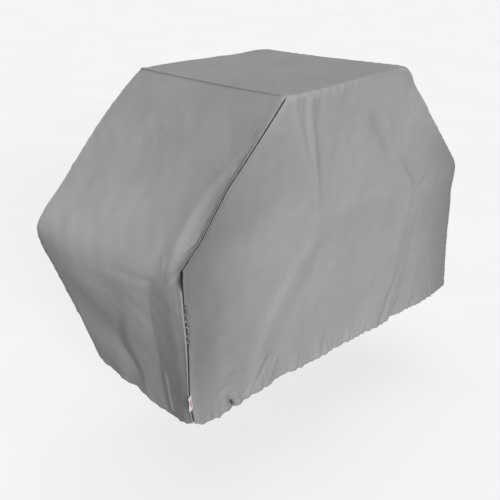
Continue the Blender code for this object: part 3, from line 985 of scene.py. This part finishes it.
def fold(panel, lines, folds, reach=0.022, passes=2, flank=0.0):
    """Broad folds between lines, and narrower ones along paths.

    The narrow hollows get painted shade, and so do the flanks where a broad fold steps inwards.
    """
    scale = END_SCALE if panel.name in ("front_cloth", "back_cloth") else SIDE_SCALE
    total = softened(sum(between(panel.plan, group, scale) for group in lines), passes)
    small = np.zeros(panel.points.shape[:2])
    for path, width, height, fades, pointed in folds:
        widths = np.multiply(width, MM)
        small += ridge(panel.plan, on_panel(path, scale), widths, height * MM, fades, pointed)
    inside = panel.inside(reach)
    narrow_inside = panel.inside(reach / 3)
    panel.lift(total * inside + small * narrow_inside)
    steepness = np.gradient(total, axis=1) / np.gradient(panel.plan[..., 0], axis=1)
    # painted shade in narrow hollows and on inward-stepping flanks
    hollow = np.clip(-small / 0.010, 0, 0.5) * 0.35 * narrow_inside
    panel.darken(hollow + np.clip(-steepness * flank, 0, 0.22) * inside)


def pucker_front(panel):
    """The small hooked puckers beside the front's left seam, with painted shade in their creases, and the
    painted soft shadow that they stand in.
    """
    down = -panel.plan[..., 1] / HEIGHT
    for number, start in enumerate(FRONT_PUCKERS):
        reach = 0.019 + 0.004 * math.sin(2.3 * number)
        drop = 0.014 + 0.003 * math.sin(1.7 * number)
        x, y = panel.plan[np.argmin(np.abs(down[:, 0] - start / 100)), 0]
        path = [(x, y), (x + 0.5 * reach, y - 0.2 * drop), (x + reach, y - drop)]
        crease = ridge(panel.plan, path, 0.0048, -0.0046, (0.0, 0.5), 0.2)
        roll = ridge(panel.plan, [(a, b - 0.011) for a, b in path], 0.0058, 0.0044, (0.0, 0.5), 0.2)
        panel.lift(crease + roll)
        # painted shade in each crease
        panel.darken(-crease / 0.0046 * 0.85)
    # a painted soft shadow beside the seam
    beside = smooth_step(down, 0.46, 0.52) * (1 - smooth_step(down, 0.66, 0.74))
    panel.darken(0.16 * beside * np.exp(-((panel.from_left / 0.011) ** 2)))


def darken_ends(panel):
    """Painted shade: the front is drawn a little darker towards its two seams."""
    down = -panel.plan[..., 1] / HEIGHT
    left = 0.36 * np.exp(-((panel.from_left / 0.23) ** 1.8))
    left = left * smooth_step(down, 0.08, 0.40) * (1 - 0.55 * smooth_step(down, 0.74, 0.95))
    right = 0.34 * np.exp(-((panel.from_right / 0.21) ** 1.8)) * smooth_step(down, 0.12, 0.42)
    panel.darken(left + right)


def darken_tuck(panel):
    """The tuck that gapes at the front's hem is painted dark inside, as shade."""
    panel.darken(ridge(panel.plan, on_panel(FRONT_TUCK, END_SCALE), 0.0072, 0.97, (0.1, 0.1)))


def highlight_shelf(panel, amount):
    """Painted highlight: the cloth is paler where it lies over the shelf's edge."""
    down = -panel.plan[..., 1] / SIDE_LENGTH
    panel.paint_highlight(amount * smooth_step(down, 0.20, 0.50) * (1 - smooth_step(down, 0.52, 0.60)))


def gather_front(panel):
    total = np.zeros(panel.points.shape[:2])
    for percent, *size in FRONT_GATHERS:
        place = percent / 100
        reach, width, height = np.multiply(size, MM)
        x = place * HALF_WIDTH + 0.25 * panel.from_top * np.sin(40 * place)
        profile = np.exp(-(((panel.points[..., 0] - x) / width) ** 2))
        fading = smooth_step(panel.from_top, 0, 0.006) * np.exp(-((panel.from_top / reach) ** 1.5))
        total += height * profile * fading
    panel.lift(total * smooth_step(panel.from_left, 0, 0.012))


def gather_hem(panel, seed, fine, broad, fine_scale=0.020, broad_scale=0.085):
    """The casing's rounded edge, its stitched groove, the flutes that the elastic makes over it, and a
    painted highlight along the bottom edge.
    """
    place = np.stack([panel.from_left[-1], 0 * panel.from_left[-1]], axis=-1)
    small = wander(place, fine_scale, seed, 12)
    small = small - 0.25 * np.abs(wander(place, fine_scale * 0.6, seed + 1, 12))
    large = wander(place, broad_scale, seed + 2, 8)
    corner = np.minimum(panel.from_left, panel.from_right)
    ease = smooth_step(corner, 0, 0.025)
    flutes = fine * small[None] * np.exp(-((panel.from_hem / 0.032) ** 1.2))
    flutes = flutes + broad * large[None] * np.exp(-((panel.from_hem / 0.10) ** 1.2))
    nominal = (1 - DOWN_SKIRT[-HEM_ROWS - 6 :]) * SKIRT_LENGTH
    level = np.full(panel.points.shape[0], 1.0)
    level[-len(nominal) :] = nominal
    casing = 0.0009 * np.sqrt(np.clip(1 - ((level - 0.012) / 0.012) ** 2, 0, 1))
    groove = -0.0006 * np.exp(-(((level - HEM_STITCH) / 0.0014) ** 2))
    panel.lift((flutes + (casing + groove)[:, None]) * ease)
    ripple = 0.0016 * wander(place, fine_scale * 1.3, seed + 3, 10)
    panel.points[..., 2] += ripple[None] * np.exp(-panel.from_hem / 0.02) * ease
    # a painted highlight along the hem's folded bottom edge
    panel.paint_highlight(0.08 * np.exp(-((level[:, None] / 0.0022) ** 2)) * ease)


def crumple(panel, seed, sizes):
    """Slack in the cloth, as (size, height) for each scale of it."""
    total = sum(height * wander(panel.plan, size, seed + k) for k, (size, height) in enumerate(sizes))
    panel.lift(total * panel.inside(0.03))


def round_corner(panel, row, column, seams_there):
    """Draws one corner in, by as much on each panel that meets there."""
    inward = unit(sum(seam.inward[k] for seam, k in seams_there))
    down = panel.from_top if row == 0 else panel.from_hem
    across = panel.from_left if column == 0 else panel.from_right
    away = np.sqrt(down**2 + across**2)
    panel.points = panel.points + CORNER_PULL * np.exp(-((away / CORNER_REACH) ** 1.5))[..., None] * inward


def shape_panels(panels, seams):
    front, back, left, right, top = (panels[key] for key in ("front", "back", "left", "right", "top"))
    crumple(front, 11, ((0.30, 0.0026), (0.12, 0.0010), (0.045, 0.0004)))
    crumple(back, 21, ((0.28, 0.0036), (0.12, 0.0022), (0.045, 0.0006)))
    crumple(left, 31, ((0.25, 0.0014), (0.10, 0.0008), (0.040, 0.0003)))
    crumple(right, 41, ((0.25, 0.0030), (0.11, 0.0018), (0.040, 0.0005)))
    crumple(top, 51, ((0.22, 0.0012), (0.09, 0.0006)))
    fold(front, (FRONT_LINES,), FRONT_FOLDS, passes=5, flank=0.3)
    fold(left, (LEFT_SLOPE_LINES, LEFT_SKIRT_LINES), LEFT_FOLDS, 0.016, 1, flank=0.75)
    fold(back, (BACK_LINES,), BACK_FOLDS, passes=5)
    fold(right, (RIGHT_LINES,), RIGHT_FOLDS, passes=4)
    darken_ends(front)
    darken_tuck(front)
    highlight_shelf(left, 0.13)
    highlight_shelf(right, 0.08)
    gather_front(front)
    pucker_front(front)
    gather_hem(front, 101, 0.0016, 0.0026, 0.014)
    gather_hem(back, 111, 0.0022, 0.0070)
    gather_hem(left, 121, 0.0005, 0.0010)
    gather_hem(right, 131, 0.0020, 0.0050)

    rows = np.arange(len(seams["front_left"].points)) - len(DOWN_SLOPE)
    # where the left panel gapes from the seam at the shelf, its groove widens and its painted shade reads as
    # a dark gap
    opening = smooth_step(rows, -3, 2) * (1 - smooth_step(rows, 3, 14))
    low_slope = smooth_step(rows, -70, -50) * (1 - smooth_step(rows, -4, 2))
    skirt = smooth_step(rows, 4, 10)
    # the panel, its edge, the seam, then in mm how wide the round and the groove are and how high the lip
    # and the puckers are, and how dark the groove's painted shade is if that isn't the usual
    sewn = (
        ("front", "left", "front_left", 8, 3, low_slope, 0.5),
        ("left", "left", "front_left", 7, 2 + 20.6 * opening, skirt, 0.6),
        ("front", "right", "front_right", 12, 2.6, 1, 0.8),
        ("right", "left", "front_right", 12, 2.6, 0.6, 0.8),
        ("back", "left", "back_left", 16, 2.6, 1, 1),
        ("left", "right", "back_left", 16, 2.6, 0.6, 1),
        ("back", "right", "back_right", 14, 2.6, 1, 1),
        ("right", "right", "back_right", 14, 2.6, 0.6, 1),
        ("front", "top", "top_front", 6, 2.6, 0, 0.6, 0.34),
        ("top", "top", "top_front", 10, 2.6, 0, 0.4, 0.30),
        ("back", "top", "top_back", 10, 3.2, 0, 1, 0.30),
        ("top", "bottom", "top_back", 12, 3.2, 0, 0.2, 0.30),
        ("left", "top", "top_left", 22, 7.5, 0, 0.6, 0.30),
        ("top", "left", "top_left", 12, 18, 0, 0.3, 0.0),
        ("right", "top", "top_right", 18, 4.2, 0.4, 0.8, 0.20),
        ("top", "right", "top_right", 12, 4.2, 0.8, 0.6, 0.20),
    )
    for seed, (key, edge, seam, *sizes) in enumerate(sewn, 201):
        round_width, groove_width, lip, pucker = (size * MM for size in sizes[:4])
        sew(panels[key], edge, seams[seam], round_width, groove_width, lip, pucker, seed, *sizes[4:])
    for end, side in ((end, side) for end in ("front", "back") for side in ("left", "right")):
        column, row = -1 if side == "right" else 0, -1 if end == "back" else 0
        there = ((seams[f"{end}_{side}"], 0), (seams["top_" + end], column), (seams["top_" + side], row))
        round_corner(panels[end], 0, column, there)
        round_corner(panels[side], 0, row, there)
        round_corner(top, row, column, there)


# Inside and trim


def make_bindings(panels, seams, tape):
    made = {}
    front, back, top = (panels[key].points for key in ("front", "back", "top"))
    edges = {"top_left": top[:, 0], "top_right": top[:, -1]}
    for end, points in (("front", front), ("back", back)):
        edges.update({end + "_left": points[:, 0], "top_" + end: points[0], end + "_right": points[:, -1]})
    for node, keys in (
        ("front_seam_binding", ("front_left", "top_front", "front_right")),
        ("back_seam_binding", ("back_left", "top_back", "back_right")),
        ("left_top_binding", ("top_left",)),
        ("right_top_binding", ("top_right",)),
    ):
        runs = []
        for number, key in enumerate(keys):
            inward = np.array((0.35, 0, -1)) if key == "top_left" else seams[key].inward
            part = np.stack([edges[key], np.broadcast_to(inward, edges[key].shape)], axis=1)
            if len(keys) == 1:
                part = part[12:-12]
            elif number == 0:
                part = part[::-1]
            runs.append(part)
        course = np.concatenate([runs[0], *(run[1:] for run in runs[1:])])[::2]
        path, inward = course[:, 0], unit(course[:, 1])
        run = unit(np.gradient(path, axis=0))
        inward = unit(inward - run * np.sum(inward * run, axis=1, keepdims=True))
        path = path + inward * (CLOTH_THICKNESS + BINDING_WIDTH / 2)
        section = oval(BINDING_WIDTH, BINDING_THICKNESS, 12, 0.55)
        made[node] = sweep(node + "_tape", path, inward, np.cross(run, inward), section, tape)
    return made


def make_hems(panels, cloth, elastic_cloth, thread):
    """The casings, their stitches and the elastic inside them."""
    made = {}
    loop = []
    for key in ("front", "right", "back", "left"):
        panel, node = panels[key], key + "_hem_casing"
        normal = panel.normals()
        keep = slice(-HEM_ROWS + 1, None)
        grid, out = panel.points[keep], normal[keep]
        ends = (panel.from_left[-1] > CASING_END) & (panel.from_right[-1] > CASING_END)
        grid, out = grid[:, ends], out[:, ends]
        level = (1 - DOWN_SKIRT[keep]) * SKIRT_LENGTH
        share = np.clip(level / CASING_HEIGHT, 0, 1)
        inset = CLOTH_THICKNESS + 0.0006 + CASING_BULGE * np.sin(math.pi * share)
        strip = Panel(node + "_strip", grid - out * inset[:, None, None], panel.outward, None)
        strip.darken(0.1)
        made[node] = make_cloth(strip, cloth, CASING_THICKNESS)
        middle = int(np.argmin(np.abs(level - CASING_HEIGHT / 2)))
        line = grid[middle] - out[middle] * (CLOTH_THICKNESS + 0.0012 + CASING_BULGE / 2)
        loop.append(line if key in ("front", "right") else line[::-1])
        row = len(panel.points) - 1 - HEM_SPACING.index(HEM_STITCH)
        path, outward = panel.points[row, 6:-6], normal[row, 6:-6]
        made[node + "_stitches"] = make_stitches(key + "_hem_stitches", path, outward, thread)
    path = at_shares(catmull_rom(np.concatenate([*loop, loop[0][:1]])[::3], 3), np.linspace(0, 1, 900))[:-1]
    run = unit(np.roll(path, -1, axis=0) - np.roll(path, 1, axis=0))
    side = unit(np.cross(run, np.array((0.0, 0.0, 1.0))))
    section = oval(2 * ELASTIC_RADIUS, 2 * ELASTIC_RADIUS, 10)
    cord = sweep("hem_elastic_cord", path, side, np.cross(side, run), section, elastic_cloth, closed=True)
    made["hem_elastic"] = cord
    return made


def make_label(seams, material):
    """A folded woven tag, caught in the front-left seam and curling a little."""
    seam = seams["front_left"]
    level = (label_low.z + label_high.z) / 2 + 0.006
    row = int(np.argmin(np.abs(seam.points[:, 2] - level)))
    foot = seam.points[row] + np.array((0.007, 0.0, 0.0))
    length, width = 0.78 * (label_high.z - label_low.z), 0.92 * (label_high.x - label_low.x)
    tilt = unit(seam.points[row + 4] - seam.points[row - 4])
    down = tilt if tilt[2] < 0 else -tilt
    out = unit(np.array((-0.885, -0.465, 0.0)))
    face_out = np.array((0.43, -0.90, 0.0))
    rows, columns = 19, 15
    v, u = np.meshgrid(np.linspace(0, 1, rows), np.linspace(0, 1, columns), indexing="ij")
    curl = 0.0022 * np.sin(2.2 * v + 0.6) * u**2 + 0.0010 * np.sin(7 * v) * u
    meet = np.where(u > 0.66, np.sin(math.pi * np.minimum(1, (1 - u) * 3) / 2), 1)
    hanging = ((v - 0.5) * length * (1 - 0.03 * u))[..., None] * down
    flat = foot + hanging + (u * (width + 0.002))[..., None] * out
    layers = [flat + (curl + gap * meet)[..., None] * face_out for gap in (0, 0.0013)]
    count = rows * columns
    index = np.arange(count).reshape(rows, columns)
    quads = np.stack([index[:-1, :-1], index[:-1, 1:], index[1:, 1:], index[1:, :-1]], axis=-1).reshape(-1, 4)
    border = np.concatenate([index[0], index[1:, -1], index[-1, -2::-1], index[-2:0:-1, 0]])
    rim = [(a, b, b + count, a + count) for a, b in zip(border, np.roll(border, -1))]
    faces = [*quads[:, ::-1], *(quads + count), *rim]
    tag = add_mesh("side_label_tag", np.reshape(layers, (-1, 3)), faces, material)
    places = np.stack([u, 1 - v], axis=-1).reshape(-1, 2)
    add_uv(tag.data, "label", np.concatenate([places, places]))
    fix_normals(tag.data)
    return tag


# Floor, light and camera

SOFT_SPREAD = 60
KEY_FROM = (-0.37, -0.70, 0.25)
KEY_STRENGTH = 3.24
KEY_SPREAD = 24
OVERHEAD_STRENGTH = 0.76
BACK_FROM = (0.50, 0.85, -0.04)
BACK_STRENGTH = 1.9
SKY_STRENGTH = 0.22
FLOOR_GLOW = 0.66

CAMERA_PLACE = (-2.0118, -1.8123, 0.4535)
CAMERA_AZIMUTH = 46.493
CAMERA_DOWN = 21.919
CAMERA_ROLL = -0.576
CAMERA_LENS = 59.36


def add_sun(name, direction, strength, spread, shadow=True):
    data = bpy.data.lights.new(name, "SUN")
    data.energy = strength
    data.angle = math.radians(spread)
    data.use_shadow = shadow
    sun = bpy.data.objects.new(name, data)
    sun.rotation_euler = Vector(direction).to_track_quat("Z", "Y").to_euler()
    bpy.context.scene.collection.objects.link(sun)


def add_stage():
    """A pale floor where the grill would stand, a key light, two soft ones and an even sky."""
    size = 30.0
    corners = [(-size, -size, GROUND), (size, -size, GROUND), (size, size, GROUND), (-size, size, GROUND)]
    paint = Paint("floor", {"Roughness": 0.95, "Specular IOR Level": 0.0})
    cloudy = paint.ramp(paint.noise(1.5, 3.0), 0.3, 0.29, 0.7, 0.32)
    glow = {"Emission Color": grey(1.0), "Emission Strength": FLOOR_GLOW}
    paint.feed(paint.shader, {"Base Color": cloudy, **glow})
    floor = add_mesh("floor", corners, [(0, 1, 2, 3)], paint.material)
    floor.visible_diffuse = False
    add_sun("key", KEY_FROM, KEY_STRENGTH, KEY_SPREAD)
    add_sun("overhead", (0.0, 0.0, 1.0), OVERHEAD_STRENGTH, SOFT_SPREAD)
    add_sun("back_fill", BACK_FROM, BACK_STRENGTH, SOFT_SPREAD, shadow=False)
    world = bpy.data.worlds.new("sky")
    world.use_nodes = True
    sky = world.node_tree.nodes["Background"]
    sky.inputs["Color"].default_value = grey(1.0)
    sky.inputs["Strength"].default_value = SKY_STRENGTH
    bpy.context.scene.world = world
    bpy.context.scene.view_settings.view_transform = "Standard"


def add_camera():
    data = bpy.data.cameras.new("camera")
    data.lens = CAMERA_LENS
    data.sensor_width = 36
    data.clip_end = 200
    camera = bpy.data.objects.new("camera", data)
    azimuth, down = math.radians(CAMERA_AZIMUTH), math.radians(CAMERA_DOWN)
    level = math.cos(down)
    forward = Vector((math.sin(azimuth) * level, math.cos(azimuth) * level, -math.sin(down)))
    turn = forward.to_track_quat("-Z", "Y").to_matrix().to_4x4()
    roll = Matrix.Rotation(math.radians(-CAMERA_ROLL), 4, "Z")
    camera.matrix_world = Matrix.Translation(CAMERA_PLACE) @ turn @ roll
    bpy.context.scene.collection.objects.link(camera)
    bpy.context.scene.camera = camera


def place_piece(piece, node):
    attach(piece, "root")
    if node:
        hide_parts(node)


def main():
    add_camera()
    add_stage()
    cloth = cover_material("cover_cloth", 0.325)
    tape = tape_material("binding_tape", 0.14, 0.0012)
    elastic_cloth = tape_material("hem_elastic", 0.035, 0.0010)
    thread = tape_material("hem_thread", 0.26, 0.0004)
    label = label_material()
    seams, hems = make_seams()
    panels = make_panels(seams, hems)
    shape_panels(panels, seams)

    pieces = {}
    for key, panel in panels.items():
        pieces[key] = make_cloth(panel, cloth)
        node = key + "_side_panel" if key in ("left", "right") else key + "_panel"
        place_piece(pieces[key], node)
    trim = {**make_bindings(panels, seams, tape), **make_hems(panels, cloth, elastic_cloth, thread)}
    for node, piece in trim.items():
        kind = node.split("_")[-1]
        place_piece(piece, None if kind == "stitches" else node)
    place_piece(make_label(seams, label), "side_label")


main()
